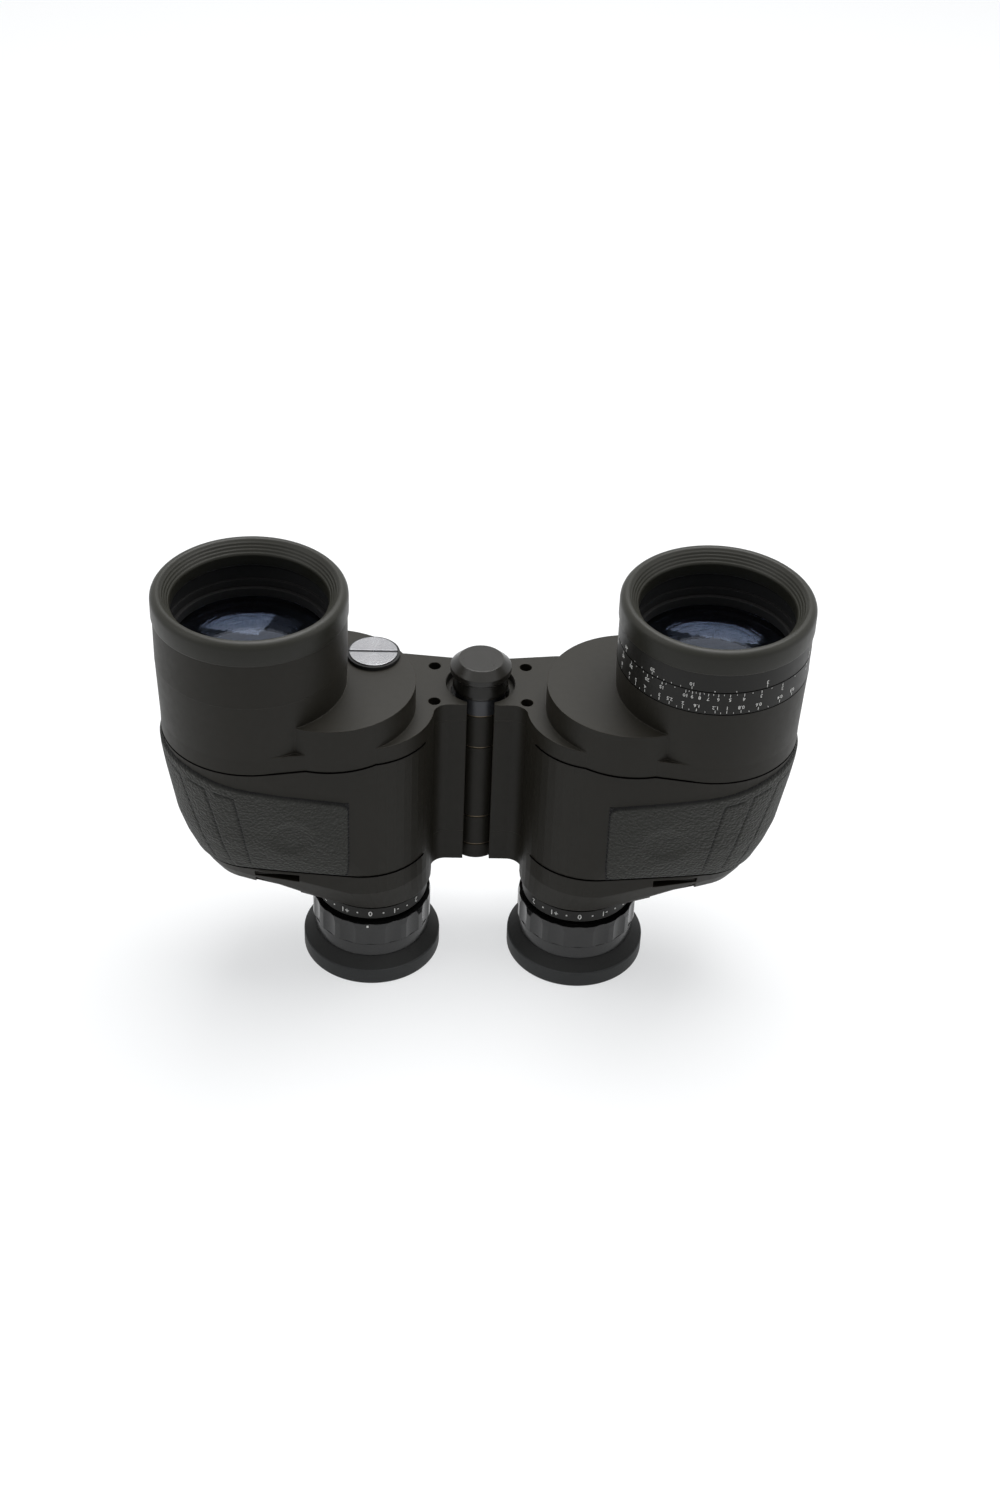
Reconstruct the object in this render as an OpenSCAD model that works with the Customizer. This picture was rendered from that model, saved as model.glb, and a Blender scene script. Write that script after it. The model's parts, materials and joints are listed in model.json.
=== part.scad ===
// Wide-bodied porro-prism binoculars with two individually focused eyepieces.
// +Z up, standing on the eyecups at z = 0, with y = 0 in the plane of the four optical axes.
// The hinge axis is at x = 0, behind that plane. Each right-hand piece is drawn at +x,
// and the left-hand one is its mirror image.

/* [Layout] */
// Sideways distance from the hinge to each objective axis
objective_offset = 72.2; // [68:0.1:90]
// Sideways distance from the hinge to each eyepiece axis
eyepiece_offset = 34.6; // [32:0.1:40]
// How far the hinge axis lies behind the plane of the optical axes
hinge_back = 12.7; // [11:0.1:15.5]

/* [Objectives] */
// Outer radius of the rim ring
rim_r = 30.5; // [30:0.1:36.5]
// Height of the rim ring
rim_h = 8; // [6.5:0.1:10]
// Radius of the flared mouth inside the rim
mouth_r = 27.1; // [26.5:0.1:28]
// Radius of the throat below the mouth
throat_r = 24.5; // [20:0.1:25]
// Outer radius of the barrel just under the rim
barrel_top_r = 30.1; // [29.8:0.1:36]
// Outer radius of the barrel where it meets the housing
barrel_base_r = 29.3; // [29:0.1:35]
// Height of the barrel above the prism platform
barrel_rise = 26.3; // [25:0.1:32]
// Radius of the objective lenses
lens_r = 25.5; // [21:0.1:25.9]
// Outer radius of the cell that holds the objective lenses
cell_r = 27; // [26.5:0.1:27.3]
// Length of that cell
cell_h = 24; // [21:0.1:25]
// Edge thickness of the front lens
crown_edge = 5; // [4:0.1:6]
// Edge thickness of the rear lens
flint_edge = 4; // [3.3:0.1:5]
// Height of the turning ranging ring
ranging_h = 8.3; // [7:0.1:10]
// Height of the fixed scale ring above it
range_scale_h = 6.7; // [5.5:0.1:8]
// Thickness of both range rings
range_ring_t = 1.85; // [1.5:0.05:2]

/* [Castings] */
// Wall thickness of the castings
wall = 2.6; // [2.1:0.1:3.2]
// Radius of the rounded inner shoulder of each half
shoulder_r = 23.3; // [22:0.1:25]
// Distance of that shoulder's centre outside the eyepiece axis
shoulder_shift = 3.4; // [2:0.1:5]
// Distance of the flat back wall from the plane of the optical axes
back_y = 28.6; // [27.5:0.1:30]
// Radius of the rounded edges of the back wall
back_round = 8; // [6:0.1:9.5]
// Height from the prism shelf's top to the seam under the objective cover
housing_above_shelf = 18.15; // [15.1:0.05:20]
// Height of the flange on the objective cover
flange_h = 6.3; // [5.2:0.1:7.6]
// Radius of the round platform over the upper prism
platform_r = 27.3; // [25:0.1:28]
// Distance of the platform's centre outside the eyepiece axis
platform_shift = 13.4; // [12:0.1:15]
// Clear height over the upper prism
prism_headroom = 8.9; // [8:0.1:11]
// Height of the eyepiece cover above its boss
eyepiece_cover_h = 16.4; // [15.5:0.1:19.7]
// Radius of the boss at the bottom of the eyepiece cover
boss_r = 19.8; // [18.5:0.1:21]
// Thickness of the rubber grip pads
pad_t = 0.8; // [0.6:0.05:1]
// Width of the strap slots
strap_slot_w = 14.6; // [12:0.1:17.5]
// Height of the strap slots
strap_slot_h = 3; // [2.5:0.1:3.6]

/* [Prisms] */
// Width of the prisms
prism_w = 19.5; // [16.3:0.1:20.5]
// Thickness of the shelf between the prisms
shelf_t = 4; // [3.3:0.1:4.8]

/* [Hinge] */
// Radius of the hinge knuckles
knuckle_r = 8; // [6.7:0.1:9.6]
// Radius of the hinge shaft
shaft_r = 3.5; // [2.9:0.1:4.2]
// Running clearance between shaft and knuckle
running_gap = 0.05; // [0.03:0.01:0.08]
// Clearance round the knuckles
knuckle_clear = 1.4; // [1.1:0.1:1.7]
// Width of the slot in front of and behind the knuckles
slot_w = 8.8; // [8:0.1:9.5]
// Radius of the tripod thread's smooth wall
socket_r = 2.55; // [2.1:0.05:3.1]
// Depth of the tripod thread
socket_depth = 10; // [8.3:0.1:10.6]
// Radius of the tripod cap's head
cap_r = 9.8; // [8.9:0.1:10.2]
// Height of the tripod cap
cap_h = 10.3; // [9:0.1:12.4]

/* [Eyepieces] */
// Radius of the eyecup
eyecup_r = 23; // [21.5:0.1:26]
// Height of the eyecup
eyecup_h = 9.4; // [8.5:0.1:11.3]
// Height of the straight band at the eyecup's rim
eyecup_band = 5.8; // [4.8:0.1:6.5]
// Radius of the focus ring
focus_r = 19.9; // [19:0.1:21]
// Height of the focus ring
focus_h = 14; // [12.5:0.1:16.8]
// Number of flats on the focus ring
focus_flats = 16; // [12:1:20]
// Gap that the focus ring travels into
focus_gap = 2; // [1.9:0.1:2.4]
// Radius of the dioptre scale ring
scale_r = 18.5; // [17.6:0.1:19]
// Height of the dioptre scale ring
scale_h = 5.8; // [4.9:0.1:7]
// Outer radius of the ocular tube
ocular_r = 15; // [13.8:0.1:15.4]
// Wall of the ocular tube at its lenses
ocular_wall = 2.4; // [2:0.1:2.9]

/* [Reticle battery] */
// Radius of the button cell
cell_button_r = 5.8; // [4.9:0.1:6.2]
// Height of the button cell
cell_button_h = 5.4; // [4.5:0.1:6.4]
// Radius of the battery cap
battery_cap_r = 7.7; // [7.5:0.1:8]

/* [Hidden] */
$fn = 96;
hull_fn = 48;
eps = 0.01;
fit_gap = 0.05;
face_gap = 0.05;

// Colours
casting_colour = [0.13, 0.125, 0.11];
black_colour = [0.05, 0.05, 0.05];
rubber_colour = [0.16, 0.17, 0.165];
glass_colour = [0.35, 0.42, 0.55];
steel_colour = [0.75, 0.76, 0.78];
grey_colour = [0.3, 0.32, 0.34];
brass_colour = [0.7, 0.58, 0.3];

// Stack of levels from the table up
z_focus = eyecup_h;
z_focus_top = z_focus + focus_h;
z_scale = z_focus_top + focus_gap;
z_boss = z_scale + scale_h;
z_seam_low = z_boss + eyepiece_cover_h;
sleeve_top = z_seam_low - 1.6;

// The two prisms turn the axis through the diagonal offset between eyepiece and objective
prism_step = (objective_offset - eyepiece_offset) / sqrt(2);
prism_half = (prism_step + prism_w) / 2;
prism_bevel = 1;
prism_depth = prism_half - prism_bevel;
prism_tip_clear = 1.8;
z_shelf = z_seam_low + prism_tip_clear + prism_depth;
z_shelf_top = z_shelf + shelf_t;
z_prism_top = z_shelf_top + prism_depth;
clip_t = 0.6;
clip_w = 5;
mid_x = (objective_offset + eyepiece_offset) / 2;
mid_y = (objective_offset - eyepiece_offset) / 2;
prism_back_y = back_y - wall - 0.4;

z_seam_high = z_shelf_top + housing_above_shelf;
z_flange = z_seam_high + flange_h;
z_platform = z_prism_top + clip_t + prism_headroom + wall;
z_rim = z_platform + barrel_rise;
z_rings = z_rim - ranging_h - range_scale_h;
z_cell = z_rim - cell_h;
cell_floor = 3;
z_flint = z_cell + cell_floor;
z_crown = z_flint + flint_edge;
z_crown_top = z_crown + crown_edge;
crown_rise = 2.8;

// Plan of each half
flange_ledge = 0.02;
web_inset = 0.05;
shoulder_x = eyepiece_offset + shoulder_shift;
platform_x = eyepiece_offset + platform_shift;
back_x1 = eyepiece_offset - 4.6;
back_x2 = mid_x + 4.6;

// Draft of the housing's outer end: share of its height from the top, and loss of radius
housing_draft = [[0, 0.1], [0.12, 0.4], [0.27, 1.3], [0.66, 4.2], [0.82, 6.4], [1, 9.8]];
// The same for the eyepiece cover, with heights above its boss
cover_draft = [[eyepiece_cover_h, 9.8], [12.3, 11.7], [7.6, 14.7], [4.5, 20]];

// Hinge column
column_clear_r = knuckle_r + knuckle_clear;
wing_front = hinge_back - column_clear_r - 2.4;
wing_back = hinge_back + column_clear_r + 3.2;
wing_fillet = 5;
fillet_y = wing_front - wing_fillet;
fillet_x = shoulder_x - sqrt(pow(shoulder_r + wing_fillet - 0.1, 2) - fillet_y * fillet_y);
z_wing = z_seam_low - 11.9;
z_end_cap = z_wing - 3.4;
end_cap_h = 6;
washer_gap = 0.6;
z_knuckle_low = z_end_cap + end_cap_h + washer_gap;
z_tube = z_seam_low + 3.2;
z_tube_top = z_seam_high - 14.4;
z_knuckle_high = z_tube_top + washer_gap;
z_knuckle_top = z_seam_high - 1.8;
z_bush = z_knuckle_top + washer_gap;
z_bush_top = z_flange - 1.2;
spigot_r = 5.4;
spigot_h = 4.9;
web_w = knuckle_r * 1.5;
pocket_r = max(11.2, column_clear_r + 0.6);
pocket_depth = 3;

// Screws that join the castings, beside the hinge
screw_x = 14.8;
screw_dy = 10.2;
screw_head_r = 1.85;
screw_hole_r = 2;
screw_shank_r = 1;
screw_shank_h = 8;
screw_seat = 2;

// Posts under the prism shelf: x, y and radius
shelf_posts = [
    [objective_offset + 18.8, 0, 3], [eyepiece_offset - 10.1, 12, 3],
    [mid_x + 4.6, wall - shoulder_r + 1.2, 5]
];

// Ocular sleeve and stop inside the eyepiece cover
sleeve_r = ocular_r + running_gap + 2.4;
stop_z = sleeve_top - 3.5;
stop_t = 1;
stop_r = ocular_r - 3;
z_tube_end = z_focus + 2.65;
tube_top_gap = 2;
ocular_top = stop_z - tube_top_gap;
ocular_bore = ocular_r - ocular_wall;
eye_seat = z_tube_end + 6.95;
field_seat = eye_seat + 10;
eye_lens_h = 4.4;
field_lens_h = 3.6;
seal_z = z_boss + 4.8;
seal_minor = 0.8;

// Strap slots
strap_x = mid_x + 11.4;
strap_z = z_seam_low - 3;
strap_front = 20.6;
strap_deep = 8;
strap_bar = 3.4;

// Battery under the platform of the left half
battery_x = platform_x - 13.5;
battery_y = 13.5;
holder_wall = 0.9;
holder_r = cell_button_r + 0.4 + holder_wall;
holder_floor = 0.7;
z_holder = z_prism_top + clip_t + 0.7;
battery_stem_h = 2.7;
z_button_top = z_platform - battery_stem_h - 0.1;
z_button = z_button_top - cell_button_h;
battery_seal_r = battery_cap_r + 0.8;
battery_seal_h = 1.2;
battery_cap_t = 1.6;

/* ---- shared shapes ---- */

// Mirror a right-hand piece to the left
module left() {
    mirror([1, 0, 0]) children();
}

// Fills the space between two circles on the x axis out to their common tangents
module tangent_web(x1, r1, x2, r2) {
    s = (r2 - r1) / (x2 - x1);
    c = sqrt(1 - s * s);
    polygon([
        [x1 - r1 * s, -r1 * c], [x2 - r2 * s, -r2 * c],
        [x2 - r2 * s, r2 * c], [x1 - r1 * s, r1 * c]
    ]);
}

// Plan of a casting at the upper seam, inset by t
module casting_plan(t) {
    translate([shoulder_x, 0]) circle(shoulder_r - t);
    translate([objective_offset, 0]) circle(barrel_base_r - t);
    tangent_web(shoulder_x, shoulder_r - t - web_inset, objective_offset, barrel_base_r - t - web_inset);
    translate([back_x1, back_y - back_round]) circle(back_round - t);
    polygon([
        [back_x1, 0], [back_x1, back_y - t - eps], [back_x2, back_y - t - eps],
        [objective_offset, barrel_base_r - t - 0.3], [objective_offset, 0]
    ]);
}

// Plan of the wing that wraps the hinge column
module wing_plan() {
    difference() {
        union() {
            polygon([
                [0, wing_front], [shoulder_x, wing_front], [shoulder_x, back_y - back_round],
                [back_x1, back_y - eps], [back_x1 - 6, back_y - 0.4], [0, wing_back]
            ]);
            polygon([
                [fillet_x, wing_front + eps], [shoulder_x, wing_front + eps],
                [shoulder_x, fillet_y], [fillet_x, fillet_y]
            ]);
        }
        translate([fillet_x, fillet_y]) circle(wing_fillet);
        translate([0, hinge_back]) circle(column_clear_r);
        translate([-1, -50]) square([1 + slot_w / 2, 150]);
    }
}

module wing(z0, z1) {
    translate([0, 0, z0]) linear_extrude(z1 - z0) wing_plan();
}

// A knuckle with the web that ties it to its own half
module knuckle(z0, z1, web_top) {
    translate([0, hinge_back, z0]) cylinder(r = knuckle_r, h = z1 - z0);
    translate([0, hinge_back - web_w / 2, z0]) cube([column_clear_r + 2, web_w, web_top - z0]);
}

module shaft_bore(z0, z1) {
    translate([0, hinge_back, z0 - 1]) cylinder(r = shaft_r + running_gap, h = z1 - z0 + 2);
}

// Rounded block of the prism housing, inset by t
module housing_block(t, over) {
    h = z_seam_high - z_seam_low;
    hull() {
        translate([shoulder_x, 0, z_seam_low - over])
            cylinder(r = shoulder_r - t, h = h + 2 * over, $fn = hull_fn);
        for (x = [back_x1, back_x2])
            translate([x, back_y - back_round, z_seam_low - over])
                cylinder(r = back_round - t, h = h + 2 * over, $fn = hull_fn);
        for (step = housing_draft)
            translate([objective_offset, 0, z_seam_high - eps - step[0] * (h - eps)])
                cylinder(r = barrel_base_r - step[1] - t, h = eps, $fn = hull_fn);
        translate([objective_offset, 0, z_seam_high + over - eps])
            cylinder(r = barrel_base_r - housing_draft[0][1] - t, h = eps, $fn = hull_fn);
        translate([objective_offset, 0, z_seam_low - over])
            cylinder(r = barrel_base_r - housing_draft[5][1] - t, h = eps, $fn = hull_fn);
    }
}

// Rounded block of the eyepiece cover, inset by t and with its floor raised by t
module cover_block(t, over) {
    hull() {
        translate([shoulder_x, 0, z_boss + 9])
            cylinder(r = shoulder_r - t, h = eyepiece_cover_h - 9 + over, $fn = hull_fn);
        translate([eyepiece_offset, 0, z_boss + t])
            cylinder(r = boss_r - t, h = eps, $fn = hull_fn);
        for (x = [back_x1, back_x2])
            translate([x, back_y - back_round, z_boss + 10 + t / 2])
                cylinder(r = back_round - t, h = eyepiece_cover_h - 10 - t / 2 + over, $fn = hull_fn);
        for (step = cover_draft)
            translate([objective_offset, 0, z_boss + step[0] + (step[0] > 12.4 ? over - eps : t / 2)])
                cylinder(r = barrel_base_r - step[1] - t, h = eps, $fn = hull_fn);
    }
}

// Height of a spherical face above its edge, at radius r
function dome(r, radius, rise) = rise == 0 ? 0 :
    let (ball_r = (radius * radius + rise * rise) / (2 * abs(rise)))
    sign(rise) * (sqrt(ball_r * ball_r - r * r) - ball_r + abs(rise));

// Lens with straight sides and spherical faces; a negative rise makes a face hollow
module lens(radius, edge, rise_top, rise_bottom) {
    steps = 10;
    rotate_extrude() polygon(concat(
        [for (i = [0 : steps]) [radius * i / steps, edge + dome(radius * i / steps, radius, rise_top)]],
        [for (i = [steps : -1 : 0]) [radius * i / steps, -dome(radius * i / steps, radius, rise_bottom)]]
    ));
}

module ring(r_out, r_in, h) {
    difference() {
        cylinder(r = r_out, h = h);
        translate([0, 0, -1]) cylinder(r = r_in, h = h + 2);
    }
}

module at_objective(z) {
    translate([objective_offset, 0, z]) children();
}

module at_eyepiece(z) {
    translate([eyepiece_offset, 0, z]) children();
}

module at_hinge(z) {
    translate([0, hinge_back, z]) children();
}

module at_cover_screws() {
    for (dy = [-screw_dy, screw_dy - 1.3]) translate([screw_x, hinge_back + dy, 0]) children();
}

/* ---- castings ---- */

module objective_cover_shell(ring_seat_r) {
    difference() {
        union() {
            translate([0, 0, z_seam_high]) linear_extrude(flange_h) casting_plan(0);
            wing(z_seam_high, z_flange);
            translate([platform_x, 0, z_seam_high]) cylinder(r = platform_r, h = z_platform - z_seam_high);
            at_objective(z_flange - 1)
                cylinder(r1 = barrel_base_r - flange_ledge, r2 = barrel_top_r, h = z_rings - z_flange + 1);
            at_objective(z_rings - 1) cylinder(r = ring_seat_r, h = z_rim - z_rings + 1);
        }
        translate([0, 0, z_seam_high - 1]) linear_extrude(flange_h - wall + 1) casting_plan(wall);
        translate([platform_x, 0, z_seam_high - 1])
            cylinder(r = platform_r - wall, h = z_platform - wall - z_seam_high + 1);
        at_objective(z_seam_high - 1) cylinder(r = cell_r - 1.4, h = z_rim - z_seam_high + 2);
        at_objective(z_cell) cylinder(r = cell_r + fit_gap, h = cell_h + 1);
        at_hinge(z_flange - pocket_depth) cylinder(r = pocket_r, h = pocket_depth + 1);
        at_cover_screws() {
            translate([0, 0, z_seam_high - 1]) cylinder(r = screw_shank_r + 0.15, h = flange_h + 2);
            translate([0, 0, z_seam_high + screw_seat]) cylinder(r = screw_hole_r, h = flange_h);
        }
    }
}

module left_objective_cover() {
    color(casting_colour) left() difference() {
        objective_cover_shell(barrel_top_r);
        translate([battery_x, battery_y, z_holder - face_gap])
            cylinder(r = holder_r + fit_gap, h = z_platform - z_holder + 1);
    }
}

module right_objective_cover() {
    color(casting_colour) objective_cover_shell(barrel_top_r - range_ring_t - fit_gap);
}

module prism_housing_shell() {
    union() {
        difference() {
            housing_block(0, 0);
            difference() {
                housing_block(wall, 1);
                for (post = shelf_posts)
                    translate([post[0], post[1], z_seam_low]) cylinder(r = post[2], h = z_shelf - z_seam_low);
            }
        }
        difference() {
            wing(z_seam_low, z_seam_high);
            translate([shoulder_x, 0, z_seam_low - 1])
                cylinder(r = shoulder_r - wall + eps, h = z_seam_high - z_seam_low + 2);
            translate([back_x1, 0, z_seam_low - 1])
                cube([60, back_y - wall, z_seam_high - z_seam_low + 2]);
        }
    }
}

module housing_screw_holes() {
    at_cover_screws() translate([0, 0, z_seam_high - screw_shank_h])
        cylinder(r = screw_shank_r + fit_gap, h = screw_shank_h + 1);
    for (post = shelf_posts)
        translate([post[0], post[1], z_shelf - screw_shank_h])
            cylinder(r = screw_shank_r + fit_gap, h = screw_shank_h + 1);
}

module left_prism_housing() {
    color(casting_colour) left() difference() {
        union() {
            prism_housing_shell();
            knuckle(z_tube, z_tube_top, z_tube_top);
        }
        shaft_bore(z_tube, z_tube_top);
        housing_screw_holes();
    }
}

module right_prism_housing() {
    color(casting_colour) difference() {
        union() {
            prism_housing_shell();
            knuckle(z_knuckle_high, z_knuckle_top, z_knuckle_top);
        }
        shaft_bore(z_knuckle_high, z_knuckle_top);
        housing_screw_holes();
    }
}

// Room for the strap: in through the front wall and out through the floor, round a bar
module strap_way() {
    translate([strap_x - strap_slot_w / 2, -30, strap_z - strap_slot_h / 2])
        cube([strap_slot_w, 30 - strap_front + strap_deep, strap_slot_h]);
    translate([strap_x - strap_slot_w / 2, -strap_front + strap_bar, z_boss - 5])
        cube([strap_slot_w, strap_deep - strap_bar, strap_z + strap_slot_h / 2 - z_boss + 5]);
}

module eyepiece_cover_shell() {
    difference() {
        union() {
            cover_block(0, 0);
            difference() {
                wing(z_wing, z_seam_low);
                translate([shoulder_x, 0, z_wing - 1]) cylinder(r = shoulder_r - wall, h = 30);
            }
        }
        difference() {
            cover_block(wall, 1);
            at_eyepiece(z_boss) cylinder(r = sleeve_r, h = sleeve_top - z_boss);
            translate([strap_x - strap_slot_w / 2 - wall, -30, z_boss])
                cube([strap_slot_w + 2 * wall, 30 - strap_front + strap_deep + wall, eyepiece_cover_h]);
        }
        at_eyepiece(z_boss - 1) cylinder(r = ocular_r + running_gap, h = stop_z - z_boss + 1);
        at_eyepiece(z_boss) cylinder(r = stop_r, h = sleeve_top - z_boss + 1);
        at_eyepiece(stop_z + stop_t) cylinder(r = ocular_r + running_gap, h = sleeve_top - stop_z + 2);
        strap_way();
    }
}

module left_eyepiece_cover() {
    color(casting_colour) left() eyepiece_cover_shell();
}

module right_eyepiece_cover() {
    color(casting_colour) difference() {
        union() {
            eyepiece_cover_shell();
            knuckle(z_knuckle_low, z_tube - washer_gap, z_seam_low);
        }
        shaft_bore(z_knuckle_low, z_tube);
    }
}

/* ---- objective parts ---- */

module rim_ring() {
    color(black_colour) at_objective(z_rim) rotate_extrude() polygon([
        [throat_r, 0], [rim_r, 0], [rim_r, rim_h - 1.6], [rim_r - 0.4, rim_h - 0.7],
        [rim_r - 1.3, rim_h], [mouth_r + 0.8, rim_h], [mouth_r, rim_h - 0.7], [throat_r, rim_h - 4.3]
    ]);
}

module lens_cell() {
    color(black_colour) at_objective(z_cell) difference() {
        cylinder(r = cell_r, h = cell_h);
        translate([0, 0, -1]) cylinder(r = lens_r - 1.2, h = cell_h + 2);
        translate([0, 0, cell_floor]) cylinder(r = lens_r + fit_gap, h = cell_h);
        translate([0, 0, cell_h - 6]) cylinder(r = (lens_r + cell_r) / 2, h = 7);
    }
}

module crown_lens() {
    color(glass_colour) at_objective(z_crown + face_gap) lens(lens_r, crown_edge - face_gap, crown_rise, 1.6);
}

module flint_lens() {
    color(glass_colour) at_objective(z_flint) lens(lens_r, flint_edge, -1.65, 0);
}

module lens_retainer() {
    color(black_colour) at_objective(z_crown_top + 0.35) ring(lens_r, lens_r - 1.2, 3);
}

module range_ring_blank(z0, h) {
    at_objective(z0) ring(barrel_top_r, barrel_top_r - range_ring_t, h);
}

module range_scale() {
    color(black_colour) range_ring_blank(z_rings + ranging_h, range_scale_h);
}

module ranging_ring() {
    color(black_colour) range_ring_blank(z_rings + face_gap, ranging_h - 2 * face_gap);
}

/* ---- prisms ---- */

// Draws its children in the frame of a prism: x along its path, y across it, z = 0 at its long face
module prism_frame(x, turn, z) {
    translate([x, mid_y / 2, z]) rotate([0, 0, turn]) children();
}

module prism_body() {
    rotate([90, 0, 0]) translate([0, 0, -prism_w / 2]) linear_extrude(prism_w) polygon([
        [-prism_half, 0], [prism_half, 0], [prism_half, prism_bevel],
        [prism_bevel * 2, prism_depth], [-prism_bevel * 2, prism_depth], [-prism_half, prism_bevel]
    ]);
}

module behind_wall(z0) {
    translate([-10, prism_back_y, z0]) cube([150, 40, 80]);
}

module upper_prism() {
    color(glass_colour) difference() {
        prism_frame((mid_x + eyepiece_offset) / 2, 45, z_shelf_top) prism_body();
        behind_wall(z_shelf_top - 1);
    }
}

module lower_prism() {
    color(glass_colour) difference() {
        prism_frame((mid_x + objective_offset) / 2, -45, z_shelf) mirror([0, 0, 1]) prism_body();
        behind_wall(z_shelf - 60);
    }
}

module clip() {
    for (s = [-1, 1])
        translate([-clip_w / 2, s * (prism_w / 2 + 0.1 + clip_t / 2) - clip_t / 2, 0])
            cube([clip_w, clip_t, prism_depth + 0.1 + clip_t]);
    translate([-clip_w / 2, -prism_w / 2 - 0.1, prism_depth + 0.1]) cube([clip_w, prism_w + 0.2, clip_t]);
}

module prism_clips() {
    color(steel_colour) {
        prism_frame((mid_x + eyepiece_offset) / 2, 45, z_shelf_top) clip();
        prism_frame((mid_x + objective_offset) / 2, -45, z_shelf) mirror([0, 0, 1]) clip();
    }
}

module prism_shelf() {
    end_r = barrel_base_r - wall - 4;
    inner_r = shoulder_r - wall - 0.5;
    cut_h = shelf_t + 2;
    color(black_colour) translate([0, 0, z_shelf]) difference() {
        union() {
            translate([shoulder_x, 0, 0]) cylinder(r = inner_r, h = shelf_t);
            translate([objective_offset, 0, 0]) cylinder(r = end_r, h = shelf_t);
            linear_extrude(shelf_t) tangent_web(shoulder_x, inner_r, objective_offset, end_r);
            linear_extrude(shelf_t) polygon([
                [back_x1 + 1, -5], [back_x1 + 1, prism_back_y - 1], [back_x2, prism_back_y - 1],
                [back_x2 + 8, prism_back_y - 6], [objective_offset + 3, -5]
            ]);
        }
        for (x = [eyepiece_offset, objective_offset])
            translate([x, 0, -1]) cylinder(r = prism_w / 2 - 0.5, h = cut_h);
        translate([mid_x, mid_y, -1]) cylinder(r = prism_back_y - mid_y - 1.8, h = cut_h);
        for (post = shelf_posts)
            translate([post[0], post[1], -1]) cylinder(r = screw_shank_r + 0.15, h = cut_h);
    }
}

/* ---- screws ---- */

module screw() {
    cylinder(r = screw_head_r, h = 1.5);
    translate([0, 0, -screw_shank_h + 1]) cylinder(r = screw_shank_r, h = screw_shank_h);
}

module cover_screws() {
    color(black_colour) {
        at_cover_screws() translate([0, 0, z_seam_high + screw_seat]) screw();
        for (post = shelf_posts) translate([post[0], post[1], z_shelf_top]) screw();
    }
}

/* ---- grip pads ---- */

// Side view of the pad, from its front corner round the outer end
module pad_region() {
    low = z_seam_low + 3;
    rotate([90, 0, 0]) translate([0, 0, -60]) linear_extrude(120) polygon([
        [eyepiece_offset + 5.6, low], [eyepiece_offset + 8, z_seam_high - 14.3],
        [mid_x + 16, z_seam_high - 7.2], [objective_offset + 18.8, z_seam_high - 2.6],
        [objective_offset + 60, z_seam_high - 5], [objective_offset + 60, low]
    ]);
}

module grip_pad() {
    color(rubber_colour) resize([0, 0, 0]) intersection() {
        difference() {
            housing_block(-pad_t, 0);
            housing_block(0, 1);
        }
        pad_region();
    }
}

/* ---- eyepieces ---- */

module scale_ring() {
    color(black_colour) at_eyepiece(z_scale) difference() {
        union() {
            cylinder(r = scale_r, h = scale_h - 1.6);
            cylinder(r = scale_r - 1, h = scale_h);
        }
        translate([0, 0, -1]) cylinder(r = ocular_r + 0.5, h = scale_h + 2);
    }
}

module ocular_tube() {
    color(black_colour) at_eyepiece(0) difference() {
        translate([0, 0, z_tube_end]) cylinder(r = ocular_r, h = ocular_top - z_tube_end);
        translate([0, 0, z_tube_end - 1]) cylinder(r = ocular_bore, h = eye_seat - z_tube_end + 1);
        translate([0, 0, z_tube_end]) cylinder(r = ocular_bore - 1.4, h = ocular_top);
        translate([0, 0, field_seat]) cylinder(r = ocular_bore, h = ocular_top);
        translate([0, 0, seal_z]) rotate_extrude() translate([ocular_r - 2 * seal_minor, -seal_minor])
            square([3, 2 * seal_minor]);
    }
}

module focus_seal() {
    color(black_colour) at_eyepiece(seal_z) rotate_extrude()
        translate([ocular_r - seal_minor, 0]) circle(seal_minor, $fn = 24);
}

module eye_lens() {
    color(glass_colour) at_eyepiece(eye_seat - eye_lens_h) lens(ocular_bore - fit_gap, eye_lens_h, 0, -0.8);
}

module field_lens() {
    color(glass_colour) at_eyepiece(field_seat) lens(ocular_bore - fit_gap, field_lens_h, 0, 0);
}

module ocular_retainers() {
    low = z_tube_end + 0.4;
    color(black_colour) {
        at_eyepiece(low)
            ring(ocular_bore - fit_gap, ocular_bore - 1.5, eye_seat - eye_lens_h - face_gap - low);
        at_eyepiece(field_seat + field_lens_h + face_gap) ring(ocular_bore - fit_gap, ocular_bore - 1.5, 2);
    }
}

module focus_ring() {
    lip = 4.9;
    top_lip = 2.1;
    cut_r = 12;
    cut_depth = 0.55;
    color(black_colour) at_eyepiece(z_focus) difference() {
        rotate_extrude() polygon([
            [ocular_r - 1.6, 0], [focus_r - 0.7, 0], [focus_r - 0.7, lip], [focus_r, lip + 0.5],
            [focus_r, focus_h - top_lip], [focus_r - 0.3, focus_h], [ocular_r + running_gap, focus_h],
            [ocular_r + running_gap, 2.6], [ocular_r - 1.6, 2.6]
        ]);
        for (i = [0 : focus_flats - 1])
            rotate([0, 0, i * 360 / focus_flats]) translate([focus_r + cut_r - cut_depth, 0, lip + 0.25])
                cylinder(r = cut_r, h = focus_h);
    }
}

module eyecup() {
    color(rubber_colour) at_eyepiece(0) rotate_extrude() polygon([
        [eyecup_r - 1.8, 0], [eyecup_r, 0], [eyecup_r, eyecup_band], [focus_r - 0.7, eyecup_h],
        [ocular_r - 1.65, eyecup_h], [ocular_r - 1.65, eyecup_h + 2.5], [ocular_r - 2.8, eyecup_h + 2.5],
        [ocular_r - 2.8, eyecup_h - 0.8], [eyecup_r - 2.8, eyecup_band - 2.4]
    ]);
}

/* ---- hinge column ---- */

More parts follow.
